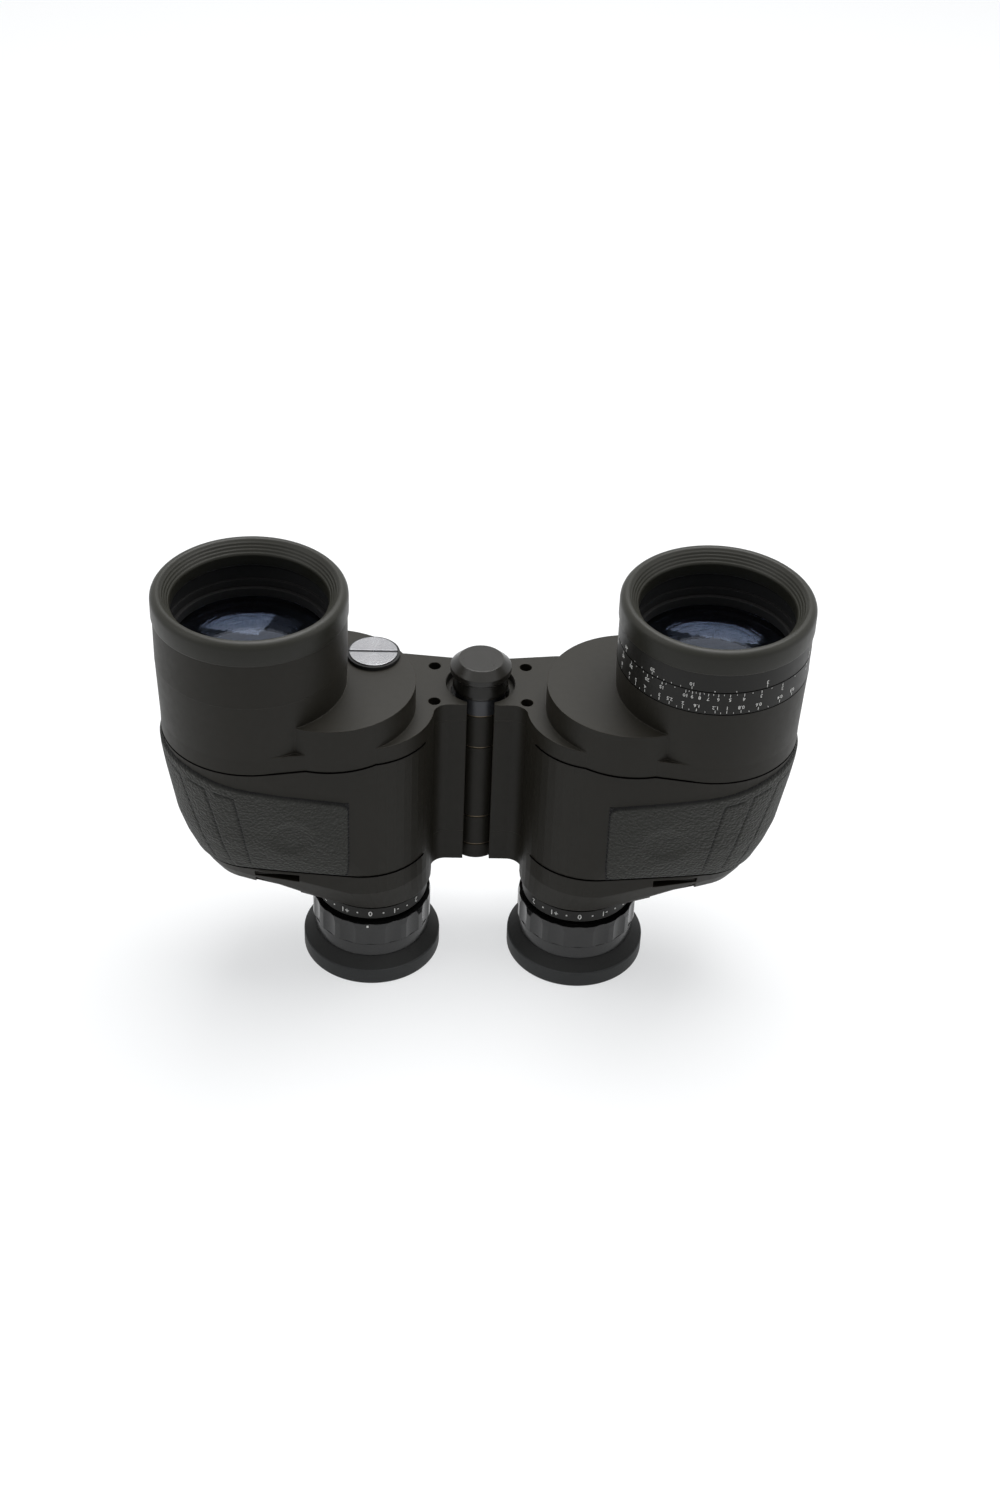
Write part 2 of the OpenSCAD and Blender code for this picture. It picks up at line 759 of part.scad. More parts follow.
module hinge_shaft() {
    color(steel_colour) at_hinge(z_end_cap + 2) cylinder(r = shaft_r, h = z_bush - z_end_cap - 2);
}

module hinge_washers() {
    t = washer_gap - 2 * face_gap;
    color(brass_colour) for (z = [z_knuckle_low - washer_gap, z_tube - washer_gap, z_tube_top, z_knuckle_top])
        at_hinge(z + face_gap) ring(knuckle_r - 0.2, shaft_r + fit_gap, t);
}

module hinge_end_cap() {
    color(casting_colour) at_hinge(z_end_cap) difference() {
        union() {
            cylinder(r1 = knuckle_r - 0.6, r2 = knuckle_r, h = 0.6);
            translate([0, 0, 0.6]) cylinder(r = knuckle_r, h = end_cap_h - 0.6);
        }
        translate([0, 0, 2]) cylinder(r = shaft_r + fit_gap, h = end_cap_h);
    }
}

module tripod_bush() {
    color(grey_colour) at_hinge(z_bush) difference() {
        union() {
            cylinder(r = knuckle_r, h = z_bush_top - z_bush);
            cylinder(r = spigot_r, h = z_bush_top + spigot_h - z_bush);
        }
        translate([0, 0, z_bush_top + spigot_h - z_bush - socket_depth])
            cylinder(r = socket_r, h = socket_depth + 1);
    }
}

module tripod_seal() {
    color(black_colour) at_hinge(z_bush_top + face_gap) ring(knuckle_r + 0.6, spigot_r + fit_gap, 0.6);
}

module tripod_cap() {
    z0 = z_bush_top + 0.7;
    neck_h = cap_h - 5.1;
    color(black_colour) at_hinge(z0) difference() {
        rotate_extrude() polygon([
            [0, 0], [knuckle_r + 1, 0], [knuckle_r + 1, 0.6], [knuckle_r - 0.5, neck_h],
            [cap_r - 0.6, neck_h], [cap_r, neck_h + 0.7], [cap_r, cap_h - 2.5],
            [cap_r - 2.6, cap_h], [0, cap_h]
        ]);
        translate([0, 0, -1]) cylinder(r = spigot_r + fit_gap, h = spigot_h + 1.2);
    }
}

/* ---- reticle and its battery, in the left half ---- */

module reticle_glass() {
    color(glass_colour) left() at_eyepiece(stop_z + stop_t) cylinder(r = ocular_r, h = 2);
}

module reticle_lamp() {
    color(steel_colour) left() translate([eyepiece_offset, sleeve_r - 1.2, sleeve_top])
        cylinder(r = 1.1, h = 4);
}

module battery_holder() {
    color(black_colour) left() translate([battery_x, battery_y, z_holder]) difference() {
        cylinder(r = holder_r, h = z_platform - z_holder);
        translate([0, 0, holder_floor]) cylinder(r = holder_r - holder_wall, h = 40);
    }
}

module battery_cell() {
    color(steel_colour) left() translate([battery_x, battery_y, z_button])
        cylinder(r = cell_button_r, h = cell_button_h);
}

module battery_spring() {
    z0 = z_holder + holder_floor;
    color(brass_colour) left() translate([battery_x, battery_y, z0])
        cylinder(r1 = cell_button_r - 1, r2 = 2, h = z_button - z0);
}

module battery_seal() {
    color(black_colour) left() translate([battery_x, battery_y, z_platform + face_gap])
        ring(battery_seal_r, battery_cap_r + fit_gap, battery_seal_h);
}

module battery_cap() {
    slot = 1.1;
    color(steel_colour) left() translate([battery_x, battery_y, z_platform]) difference() {
        union() {
            translate([0, 0, -battery_stem_h])
                cylinder(r = holder_r - holder_wall - fit_gap, h = battery_stem_h + 1);
            translate([0, 0, face_gap]) cylinder(r = battery_cap_r, h = battery_cap_t);
        }
        translate([-battery_cap_r, -slot / 2, battery_cap_t - 0.8]) cube([2 * battery_cap_r, slot, 2]);
    }
}

left_objective_cover();
right_objective_cover();
left_prism_housing();
right_prism_housing();
left_eyepiece_cover();
right_eyepiece_cover();
left() rim_ring();  // left_rim_ring
rim_ring();  // right_rim_ring
left() lens_cell();  // left_lens_cell
lens_cell();  // right_lens_cell
left() crown_lens();  // left_crown_lens
crown_lens();  // right_crown_lens
left() flint_lens();  // left_flint_lens
flint_lens();  // right_flint_lens
left() lens_retainer();  // left_lens_retainer
lens_retainer();  // right_lens_retainer
left() upper_prism();  // left_upper_prism
upper_prism();  // right_upper_prism
left() lower_prism();  // left_lower_prism
lower_prism();  // right_lower_prism
left() prism_shelf();  // left_prism_shelf
prism_shelf();  // right_prism_shelf
left() prism_clips();  // left_prism_clips
prism_clips();  // right_prism_clips
left() grip_pad();  // left_grip_pad
grip_pad();  // right_grip_pad
left() scale_ring();  // left_scale_ring
scale_ring();  // right_scale_ring
left() ocular_tube();  // left_ocular_tube
ocular_tube();  // right_ocular_tube
left() field_lens();  // left_field_lens
field_lens();  // right_field_lens
left() eye_lens();  // left_eye_lens
eye_lens();  // right_eye_lens
left() ocular_retainers();  // left_ocular_retainers
ocular_retainers();  // right_ocular_retainers
left() focus_seal();  // left_focus_seal
focus_seal();  // right_focus_seal
left() focus_ring();  // left_focus_ring
focus_ring();  // right_focus_ring
left() eyecup();  // left_eyecup
eyecup();  // right_eyecup
left() cover_screws();  // left_cover_screws
cover_screws();  // right_cover_screws
range_scale();
ranging_ring();
reticle_glass();
reticle_lamp();
battery_holder();
battery_cell();
battery_spring();
battery_seal();
battery_cap();
hinge_shaft();
hinge_washers();
hinge_end_cap();
tripod_bush();
tripod_seal();
tripod_cap();
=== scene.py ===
# %% [markdown]
# Binoculars standing on their eyecups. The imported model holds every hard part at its
# real size and place, so this lesson starts from it and adds what makes the parts look real:
# finishes, rubber grips with grain and grooves, rounded eyecups and the printed scales.

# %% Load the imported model
import json
import math

import bpy
import numpy as np
from mathutils import Matrix, Vector


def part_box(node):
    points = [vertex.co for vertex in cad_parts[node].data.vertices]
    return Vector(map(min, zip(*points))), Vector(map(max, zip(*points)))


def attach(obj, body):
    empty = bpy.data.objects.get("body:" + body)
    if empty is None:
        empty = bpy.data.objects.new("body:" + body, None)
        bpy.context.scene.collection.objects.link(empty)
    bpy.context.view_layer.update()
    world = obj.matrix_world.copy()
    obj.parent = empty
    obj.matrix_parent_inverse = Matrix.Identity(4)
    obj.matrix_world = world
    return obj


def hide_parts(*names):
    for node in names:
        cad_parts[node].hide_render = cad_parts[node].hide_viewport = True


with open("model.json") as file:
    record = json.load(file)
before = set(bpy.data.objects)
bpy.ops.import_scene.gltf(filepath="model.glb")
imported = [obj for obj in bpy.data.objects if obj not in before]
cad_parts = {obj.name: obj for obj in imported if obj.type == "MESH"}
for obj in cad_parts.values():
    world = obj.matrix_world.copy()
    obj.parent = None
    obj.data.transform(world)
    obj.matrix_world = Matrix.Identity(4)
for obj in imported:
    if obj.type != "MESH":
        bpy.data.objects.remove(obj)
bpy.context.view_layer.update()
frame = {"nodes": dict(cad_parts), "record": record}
nodes = frame["nodes"]
MM = 0.001

# %% [markdown]
# The camera stands in front of the hinge and looks down on the objectives. Its aim is a
# direction, and a small roll turns the picture about that direction.

# %% Camera
CAMERA_PLACE = Vector((-0.0178, -0.6097, 0.5593))
CAMERA_AIM = Vector((0.0316, 0.7874, -0.6157)).normalized()
CAMERA_ROLL = math.radians(2.4)
FOCAL_LENGTH = 57.6
SENSOR_WIDTH = 24

level_right = CAMERA_AIM.cross(Vector((0, 0, 1))).normalized()
level_up = level_right.cross(CAMERA_AIM)
right = level_right * math.cos(CAMERA_ROLL) + level_up * math.sin(CAMERA_ROLL)
up = right.cross(CAMERA_AIM)
camera_data = bpy.data.cameras.new("camera")
camera_data.lens = FOCAL_LENGTH
camera_data.sensor_width = SENSOR_WIDTH
camera_data.sensor_fit = "HORIZONTAL"
camera = bpy.data.objects.new("camera", camera_data)
turn = Matrix((right, up, -CAMERA_AIM)).transposed().to_4x4()
camera.matrix_world = Matrix.Translation(CAMERA_PLACE) @ turn
bpy.context.scene.collection.objects.link(camera)
bpy.context.scene.camera = camera
print("camera at", tuple(round(v, 3) for v in CAMERA_PLACE))

# %% [markdown]
# A studio table is lit by one large overhead softbox and the white room round it. The floor
# shows white to the camera, and still keeps the soft shadow under the eyecups.

# %% Nodes for a material
def new_material(name):
    """An empty node material, with its principled shader and its output."""
    material = bpy.data.materials.new(name)
    material.use_nodes = True
    tree = material.node_tree
    tree.nodes.clear()
    output = tree.nodes.new("ShaderNodeOutputMaterial")
    shader = tree.nodes.new("ShaderNodeBsdfPrincipled")
    tree.links.new(shader.outputs["BSDF"], output.inputs["Surface"])
    return material, tree, shader


def add(tree, kind, values=None, **settings):
    """A node with its settings, its plain input values and its links from other sockets."""
    node = tree.nodes.new(kind)
    for key, value in settings.items():
        setattr(node, key, value)
    for key, value in (values or {}).items():
        if isinstance(value, bpy.types.NodeSocket):
            tree.links.new(value, node.inputs[key])
        else:
            node.inputs[key].default_value = value
    return node


def maths(tree, operation, a, b=0.0, c=0.0):
    """The result of one arithmetic step on sockets or numbers."""
    return add(tree, "ShaderNodeMath", {0: a, 1: b, 2: c}, operation=operation).outputs[0]


def object_coords(tree):
    """The place on the object, in metres from its origin."""
    return add(tree, "ShaderNodeTexCoord").outputs["Object"]


# %% Floor, room and lamps
ROOM_WHITE = (0.98, 0.99, 1.0, 1)
FLOOR_WHITE_SHARE = 0.62
ROOM_LIGHT = 0.15


def seen_rays(tree):
    """1 for a ray from the camera, a reflection or through glass, and 0 for the light itself."""
    path = add(tree, "ShaderNodeLightPath")
    through = maths(tree, "MAXIMUM", path.outputs["Is Camera Ray"], path.outputs["Is Transmission Ray"])
    return maths(tree, "MAXIMUM", through, path.outputs["Is Glossy Ray"])


def show_white(tree, lit, strength):
    """Mixes a lit shader with plain white for the rays that see the background."""
    seen = seen_rays(tree)
    glow = add(tree, "ShaderNodeEmission", {"Color": ROOM_WHITE, "Strength": 1.0}).outputs[0]
    share = maths(tree, "MULTIPLY", seen, strength)
    return add(tree, "ShaderNodeMixShader", {0: share, 1: lit, 2: glow}).outputs[0]


floor_material, tree, shader = new_material("studio_floor")
floor_noise = add(tree, "ShaderNodeTexNoise", {"Vector": object_coords(tree), "Scale": 3.0})
floor_tint = add(tree, "ShaderNodeMix", {0: floor_noise.outputs[0], 6: (0.86, 0.87, 0.88, 1),
                                         7: (0.9, 0.9, 0.9, 1)}, data_type="RGBA")
tree.links.new(floor_tint.outputs[2], shader.inputs["Base Color"])
shader.inputs["Roughness"].default_value = 0.6
floor_output = tree.nodes["Material Output"]
tree.links.new(show_white(tree, shader.outputs[0], FLOOR_WHITE_SHARE), floor_output.inputs["Surface"])

FLOOR_HALF = 4.0
floor_mesh = bpy.data.meshes.new("floor")
corners = [(x * FLOOR_HALF, y * FLOOR_HALF, 0) for x, y in ((-1, -1), (1, -1), (1, 1), (-1, 1))]
floor_mesh.from_pydata(corners, [], [(0, 1, 2, 3)])
floor_mesh.materials.append(floor_material)
floor = bpy.data.objects.new("floor", floor_mesh)
bpy.context.scene.collection.objects.link(floor)

world = bpy.data.worlds.new("room")
world.use_nodes = True
room = world.node_tree
room.nodes.clear()
room_strength = maths(room, "MULTIPLY_ADD", seen_rays(room), 1 - ROOM_LIGHT, ROOM_LIGHT)
room_glow = add(room, "ShaderNodeBackground", {"Color": ROOM_WHITE, "Strength": room_strength})
room_output = add(room, "ShaderNodeOutputWorld")
room.links.new(room_glow.outputs[0], room_output.inputs["Surface"])
bpy.context.scene.world = world
bpy.context.scene.view_settings.view_transform = "Standard"


def softbox(name, place, aim, size, watts):
    """A square area lamp at place that points at aim."""
    data = bpy.data.lights.new(name, "AREA")
    data.size = size
    data.energy = watts
    lamp = bpy.data.objects.new(name, data)
    lamp.matrix_world = (Matrix.Translation(place)
                         @ (Vector(aim) - Vector(place)).to_track_quat("-Z", "Y").to_matrix().to_4x4())
    bpy.context.scene.collection.objects.link(lamp)


OBJECT_MIDDLE = (0, 0, 0.07)
softbox("overhead", (0.1, 0.3, 1.2), OBJECT_MIDDLE, 1.0, 24)
softbox("left_fill", (-1.0, -0.3, 0.8), OBJECT_MIDDLE, 0.7, 2.5)
softbox("right_fill", (1.1, -0.2, 0.7), OBJECT_MIDDLE, 0.7, 2)
print("floor, room and 3 lamps made")

# %% [markdown]
# Most of the metal is one family of finishes: a coat of paint or anodising with a fine
# surface, slight cloudiness, and edges that have rubbed a little lighter. The Bevel node
# rounds the normal at each edge, and its difference from the true normal marks the edges.

# %% Coats on metal
EDGE_RADIUS = 0.45 * MM


def edge_mask(tree, bevel):
    """How far the rounded normal turns from the true one: 0 on a face, towards 1 at an edge."""
    true_normal = add(tree, "ShaderNodeNewGeometry").outputs["True Normal"]
    along = add(tree, "ShaderNodeVectorMath", {0: bevel, 1: true_normal}, operation="DOT_PRODUCT")
    turned = maths(tree, "SUBTRACT", 1.0, along.outputs["Value"])
    return maths(tree, "MINIMUM", maths(tree, "MULTIPLY", turned, 5.0), 1.0)


def coat(name, colour, worn, rough, grain=0.05, grain_scale=2200.0, cloud=0.12, metallic=0.0,
         specular=0.5, sheen=0.0, radius=EDGE_RADIUS):
    """A coat on metal: base colour with clouds, lighter worn edges and a fine grain."""
    material, tree, shader = new_material(name)
    place = object_coords(tree)
    bevel = add(tree, "ShaderNodeBevel", {"Radius": radius}, samples=4).outputs[0]
    clouds = add(tree, "ShaderNodeTexNoise", {"Vector": place, "Scale": 55.0, "Detail": 4.0})
    fine = add(tree, "ShaderNodeTexNoise", {"Vector": place, "Scale": grain_scale, "Detail": 2.0})
    scuffs = add(tree, "ShaderNodeTexNoise", {"Vector": place, "Scale": 420.0, "Detail": 3.0})
    patchy = maths(tree, "MULTIPLY_ADD", clouds.outputs[0], 2.0 * cloud, 1.0 - cloud)
    base = add(tree, "ShaderNodeMix", {0: 1.0, 6: (*colour, 1), 7: patchy},
               data_type="RGBA", blend_type="MULTIPLY").outputs[2]
    rubbed = maths(tree, "MULTIPLY", edge_mask(tree, bevel), scuffs.outputs[0])
    shade = add(tree, "ShaderNodeMix", {0: rubbed, 6: base, 7: (*worn, 1)}, data_type="RGBA").outputs[2]
    tree.links.new(shade, shader.inputs["Base Color"])
    uneven = maths(tree, "MULTIPLY_ADD", scuffs.outputs[0], 0.12, rough - 0.06)
    tree.links.new(uneven, shader.inputs["Roughness"])
    bump = add(tree, "ShaderNodeBump", {"Height": fine.outputs[0], "Strength": grain,
                                        "Distance": 0.0002, "Normal": bevel})
    tree.links.new(bump.outputs[0], shader.inputs["Normal"])
    shader.inputs["Metallic"].default_value = metallic
    shader.inputs["Specular IOR Level"].default_value = specular
    shader.inputs["Sheen Weight"].default_value = sheen
    return material


seam_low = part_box("right_prism_housing")[0].z
seam_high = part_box("right_objective_cover")[0].z
finishes = {
    "olive_casting": coat("olive_casting", (0.0115, 0.0102, 0.0072), (0.050, 0.045, 0.034), 0.5,
                          specular=0.2),
    "rim_coat": coat("rim_coat", (0.0125, 0.0122, 0.0085), (0.06, 0.056, 0.042), 0.42, specular=0.25),
    "baffle_black": coat("baffle_black", (0.006, 0.006, 0.006), (0.015, 0.015, 0.015), 0.75,
                         specular=0.25),
    "anodised_black": coat("anodised_black", (0.010, 0.010, 0.010), (0.05, 0.05, 0.05), 0.38),
    "gloss_black": coat("gloss_black", (0.008, 0.008, 0.008), (0.04, 0.04, 0.04), 0.2, grain=0.02),
    "scale_black": coat("scale_black", (0.008, 0.0076, 0.0065), (0.04, 0.038, 0.032), 0.42, specular=0.22),
    "screw_black": coat("screw_black", (0.008, 0.008, 0.008), (0.03, 0.03, 0.03), 0.4),
    "cap_black": coat("cap_black", (0.012, 0.011, 0.009), (0.06, 0.056, 0.045), 0.3, grain=0.03,
                      specular=0.35),
    "grey_metal": coat("grey_metal", (0.045, 0.047, 0.052), (0.12, 0.12, 0.13), 0.4, metallic=0.5),
    "seal_rubber": coat("seal_rubber", (0.008, 0.008, 0.008), (0.012, 0.012, 0.012), 0.6, specular=0.3),
    "spring_steel": coat("spring_steel", (0.55, 0.56, 0.58), (0.7, 0.7, 0.72), 0.28, metallic=1.0),
    "cell_steel": coat("cell_steel", (0.6, 0.6, 0.6), (0.7, 0.7, 0.7), 0.3, metallic=1.0),
    "spring_brass": coat("spring_brass", (0.16, 0.13, 0.09), (0.3, 0.25, 0.17), 0.45, metallic=1.0),
    "lamp_red": coat("lamp_red", (0.5, 0.03, 0.02), (0.6, 0.1, 0.08), 0.15, cloud=0.05),
}
print("coats", sorted(finishes))

# %% [markdown]
# The battery cap is bare metal faced on a lathe: rings of fine tool marks round its centre,
# and a few scratches across them from the coin that turns it.

# %% Turned silver
def turned_metal(name, centre, colour):
    """Rings about a vertical axis through centre: a wave of the distance from the axis."""
    material, tree, shader = new_material(name)
    place = add(tree, "ShaderNodeMapping", {"Vector": object_coords(tree), "Location": -centre})
    rings = add(tree, "ShaderNodeTexWave", {"Vector": place.outputs[0], "Scale": 900.0,
                                            "Distortion": 0.6}, wave_type="RINGS", rings_direction="Z")
    stretch = add(tree, "ShaderNodeMapping", {"Vector": place.outputs[0], "Rotation": (0, 0, 0.5),
                                              "Scale": (4000.0, 120.0, 1.0)})
    marks = add(tree, "ShaderNodeTexNoise", {"Vector": stretch.outputs[0], "Scale": 1.0, "Detail": 3.0})
    scratch = maths(tree, "GREATER_THAN", marks.outputs[0], 0.66)
    shade = add(tree, "ShaderNodeMix", {0: maths(tree, "MULTIPLY", scratch, 0.4), 6: (*colour, 1),
                                        7: (0.35, 0.35, 0.36, 1)}, data_type="RGBA").outputs[2]
    tree.links.new(shade, shader.inputs["Base Color"])
    tree.links.new(maths(tree, "MULTIPLY_ADD", rings.outputs[1], 0.08, 0.2), shader.inputs["Roughness"])
    bevel = add(tree, "ShaderNodeBevel", {"Radius": 0.25 * MM}, samples=4).outputs[0]
    bump = add(tree, "ShaderNodeBump", {"Height": rings.outputs[1], "Strength": 0.15,
                                        "Distance": 0.00005, "Normal": bevel})
    tree.links.new(bump.outputs[0], shader.inputs["Normal"])
    shader.inputs["Metallic"].default_value = 1.0
    return material


cap_low, cap_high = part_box("battery_cap")
finishes["satin_silver"] = turned_metal("satin_silver", (cap_low + cap_high) / 2, (0.34, 0.34, 0.35))

# %% [markdown]
# Glass needs a clean surface, a high refractive index and a coating. The coating on the
# objectives is a blue-grey film, which the shader holds as a tint on its reflections.

# %% Glass
def glass(name, tint, reflection, index, rough=0.0):
    """Clear glass with a tinted reflection and a trace of dust in its roughness."""
    material, tree, shader = new_material(name)
    dust = add(tree, "ShaderNodeTexNoise", {"Vector": object_coords(tree), "Scale": 260.0, "Detail": 4.0})
    specks = maths(tree, "MULTIPLY", maths(tree, "GREATER_THAN", dust.outputs[0], 0.8), 0.03)
    tree.links.new(maths(tree, "ADD", specks, rough), shader.inputs["Roughness"])
    shader.inputs["Base Color"].default_value = (*tint, 1)
    shader.inputs["Specular Tint"].default_value = (*reflection, 1)
    shader.inputs["Transmission Weight"].default_value = 1.0
    shader.inputs["IOR"].default_value = index
    return material


finishes["coated_glass"] = glass("coated_glass", (0.16, 0.18, 0.22), (0.66, 0.76, 1.0), 1.62, 0.02)
finishes["eye_glass"] = glass("eye_glass", (0.75, 0.8, 0.75), (0.8, 1.0, 0.85), 1.6, 0.02)
finishes["clear_glass"] = glass("clear_glass", (0.85, 0.9, 0.92), (1.0, 1.0, 1.0), 1.52)

# %% [markdown]
# Rubber scatters light at its surface. The grips have a leather grain: small rounded cells
# parted by creases. The eyecups are smooth, with a faint bloom and dust.

# %% Rubber
def rubber(name, colour, rough, cell_scale, depth):
    """Rubber with a grain: cells from a Voronoi pattern, creased where they meet; where the mesh has its
    point attribute, painted shade darkens the colour.
    """
    material, tree, shader = new_material(name)
    place = object_coords(tree)
    warp = add(tree, "ShaderNodeTexNoise", {"Vector": place, "Scale": 400.0, "Detail": 2.0})
    moved = add(tree, "ShaderNodeVectorMath", {0: warp.outputs["Color"], 1: (0.0012, 0.0012, 0.0012)},
                operation="MULTIPLY")
    bent = add(tree, "ShaderNodeVectorMath", {0: place, 1: moved.outputs[0]}, operation="ADD")
    cells = add(tree, "ShaderNodeTexVoronoi", {"Vector": bent.outputs[0], "Scale": cell_scale},
                feature="SMOOTH_F1")
    fine = add(tree, "ShaderNodeTexNoise", {"Vector": place, "Scale": 3500.0, "Detail": 2.0})
    rounded = maths(tree, "SUBTRACT", 1.0, cells.outputs[0])
    height = maths(tree, "MULTIPLY_ADD", fine.outputs[0], 0.25, rounded)
    clouds = add(tree, "ShaderNodeTexNoise", {"Vector": place, "Scale": 70.0, "Detail": 4.0})
    # Painted shade: a point attribute darkens the base colour along the grip pad's border and in its
    # grooves, where shade falls.
    crease_shade = add(tree, "ShaderNodeAttribute", attribute_name="crease_shade").outputs["Fac"]
    patchy = maths(tree, "MULTIPLY_ADD", clouds.outputs[0], 0.35, 0.82)
    dark = maths(tree, "MULTIPLY", patchy, maths(tree, "SUBTRACT", 1.0, crease_shade))
    shade = add(tree, "ShaderNodeMix", {0: 1.0, 6: (*colour, 1), 7: dark},
                data_type="RGBA", blend_type="MULTIPLY").outputs[2]
    tree.links.new(shade, shader.inputs["Base Color"])
    tree.links.new(maths(tree, "MULTIPLY_ADD", clouds.outputs[0], 0.14, rough - 0.07),
                   shader.inputs["Roughness"])
    bump = add(tree, "ShaderNodeBump", {"Height": height, "Strength": depth, "Distance": 0.0006})
    tree.links.new(bump.outputs[0], shader.inputs["Normal"])
    shader.inputs["Specular IOR Level"].default_value = 0.22
    shader.inputs["Sheen Weight"].default_value = 0.06
    return material


finishes["grip_rubber"] = rubber("grip_rubber", (0.026, 0.0265, 0.023), 0.66, 1150.0, 1.0)
finishes["cup_rubber"] = rubber("cup_rubber", (0.013, 0.0132, 0.0128), 0.7, 2600.0, 0.12)
cup_band = rubber("cup_band", (0.030, 0.0315, 0.032), 0.58, 2600.0, 0.1)

# %% Finish every node of the model
for part in frame["record"]["subparts"]:
    mesh = nodes[part["node"]].data
    mesh.materials.clear()
    mesh.materials.append(finishes[part["material_slot"]])
print("finished", len(nodes), "nodes")

# %% [markdown]
# New pieces are grids of points worked out with numpy. One helper turns a grid into a mesh;
# it can close the grid round on itself, cap the two ends of a strip, and shades it smooth.

# %% Grid to mesh
def grid_mesh(name, points, close_rows=False, close_columns=False, cap_ends=False):
    """A mesh from an array of points, rows by columns, with a quad between each four.
    The first and last columns of a closed strip can each be filled by one face."""
    rows, columns = points.shape[:2]
    index = np.arange(rows * columns).reshape(rows, columns)
    caps = [index[:, 0].tolist(), index[::-1, -1].tolist()] if cap_ends else []
    if close_rows:
        index = np.vstack([index, index[:1]])
    if close_columns:
        index = np.hstack([index, index[:, :1]])
    quads = np.stack([index[:-1, :-1], index[:-1, 1:], index[1:, 1:], index[1:, :-1]], -1)
    mesh = bpy.data.meshes.new(name)
    mesh.from_pydata(points.reshape(-1, 3).tolist(), [], quads.reshape(-1, 4).tolist() + caps)
    mesh.polygons.foreach_set("use_smooth", np.ones(len(mesh.polygons), bool))
    mesh.update()
    return mesh


def new_piece(name, mesh, material, body, stands_for=()):
    """An object for the mesh that rides on a body and stands for some nodes."""
    mesh.materials.append(material)
    piece = bpy.data.objects.new(name, mesh)
    bpy.context.scene.collection.objects.link(piece)
    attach(piece, body)
    if stands_for:
        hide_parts(*stands_for)
    return piece


def centre_of(node):
    """The middle of a node's box."""
    low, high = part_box(node)
    return (low + high) / 2


# %% [markdown]
# A turned part is a profile carried round an axis. The profile's corners are rounded first,
# so that each edge catches a soft line of light.

# %% Turned parts
def rounded_profile(corners, steps=5):
    """Replaces each corner (r, z, fillet) of a closed outline by a curve.
    The curve is quadratic: it starts and ends at the fillet distance from the corner,
    and the corner is its middle control point."""
    corners = np.array(corners, float) * MM
    points = corners[:, :2]
    t = np.linspace(0, 1, steps)[:, None]
    out = []
    for i, corner in enumerate(points):
        before = points[i - 1] - corner
        after = points[(i + 1) % len(points)] - corner
        reach = corners[i, 2]
        start = corner + before * min(reach / np.linalg.norm(before), 0.49)
        end = corner + after * min(reach / np.linalg.norm(after), 0.49)
        out.append((1 - t) ** 2 * start + 2 * t * (1 - t) * corner + t ** 2 * end)
    return np.vstack(out)


def turned(profile, centre, around=144):
    """Carries a closed profile of (radius, height) round the vertical axis at centre.
    The profile runs up its outer side, so the angle falls, which faces the surface outwards."""
    angle = np.linspace(2 * np.pi, 0, around, endpoint=False)[:, None]
    radius, height = profile[None, :, 0], profile[None, :, 1]
    return np.stack([centre[0] + radius * np.cos(angle), centre[1] + radius * np.sin(angle),
                     height + 0 * angle], -1)


# %% [markdown]
# The eyecups are moulded rubber: a straight band at the table, then a cone up to the focus
# ring. The band is smoother and greyer than the cone.

# %% Eyecups
def eyecup(side):
    """A turned eyecup inside the CAD one, with rounded edges; the band is its own finish."""
    low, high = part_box(f"{side}_eyecup")
    outer = (high.x - low.x) / 2 / MM
    top = high.z / MM
    ring = outer - 3.8
    mouth = 12.2
    corners = [(outer - 1.8, 0, 0.5), (outer, 0, 0.7), (outer, 5.7, 0.25), (outer - 0.5, 5.95, 0.2),
               (ring, top - 2.5, 0.5), (mouth + 1.1, top - 2.5, 0.2), (mouth + 1.1, top, 0.2),
               (mouth, top, 0.2), (mouth, top - 3.3, 0.8), (outer - 2.8, 3.4, 0.8)]
    mesh = grid_mesh(f"{side}_eyecup_rubber", turned(rounded_profile(corners), centre_of(f"{side}_eyecup")),
                     close_rows=True, close_columns=True)
    piece = new_piece(f"{side}_eyecup_rubber", mesh, finishes["cup_rubber"], f"{side}_focus",
                      [f"{side}_eyecup"])
    mesh.materials.append(cup_band)
    middles = np.empty(len(mesh.polygons) * 3)
    mesh.polygons.foreach_get("center", middles)
    middles = middles.reshape(-1, 3)
    centre = centre_of(f"{side}_eyecup")
    far = np.hypot(middles[:, 0] - centre.x, middles[:, 1] - centre.y) > (outer - 0.6) * MM
    mesh.polygons.foreach_set("material_index", (far & (middles[:, 2] < 5.9 * MM)).astype(np.int32))
    return piece


for side in ("left", "right"):
    print(eyecup(side).name)

# %% [markdown]
# The rim ring guards the lens. Its outside is rounded, and its inside steps down in fine
# grooves that keep stray light off the glass.

# %% Rim rings
def rim(side):
    """A turned rim: a rounded outer edge and four fine steps from the mouth to the throat."""
    low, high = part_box(f"{side}_rim_ring")
    outer = (high.x - low.x) / 2 / MM
    base, top = low.z / MM, high.z / MM
    mouth, throat, steps = outer - 3.4, outer - 6.0, 4
    corners = [(throat, base, 0.1), (outer, base, 0.2), (outer, top - 1.4, 1.2), (outer - 1.4, top, 0.9),
               (mouth + 0.7, top, 0.4), (mouth, top - 0.8, 0.3)]
    for i in range(steps):
        r = mouth - (mouth - throat) * (i + 1) / steps
        z = top - 0.8 - 3.5 * (i + 1) / steps
        corners += [(r + 0.3, z + 0.65, 0.1), (r, z, 0.1)]
    points = turned(rounded_profile(corners, 4), centre_of(f"{side}_rim_ring"), 180)
    mesh = grid_mesh(f"{side}_rim_turned", points, close_rows=True, close_columns=True)
    return new_piece(f"{side}_rim_turned", mesh, finishes["rim_coat"], f"{side}_half",
                     [f"{side}_rim_ring"])


for side in ("left", "right"):
    print(rim(side).name)

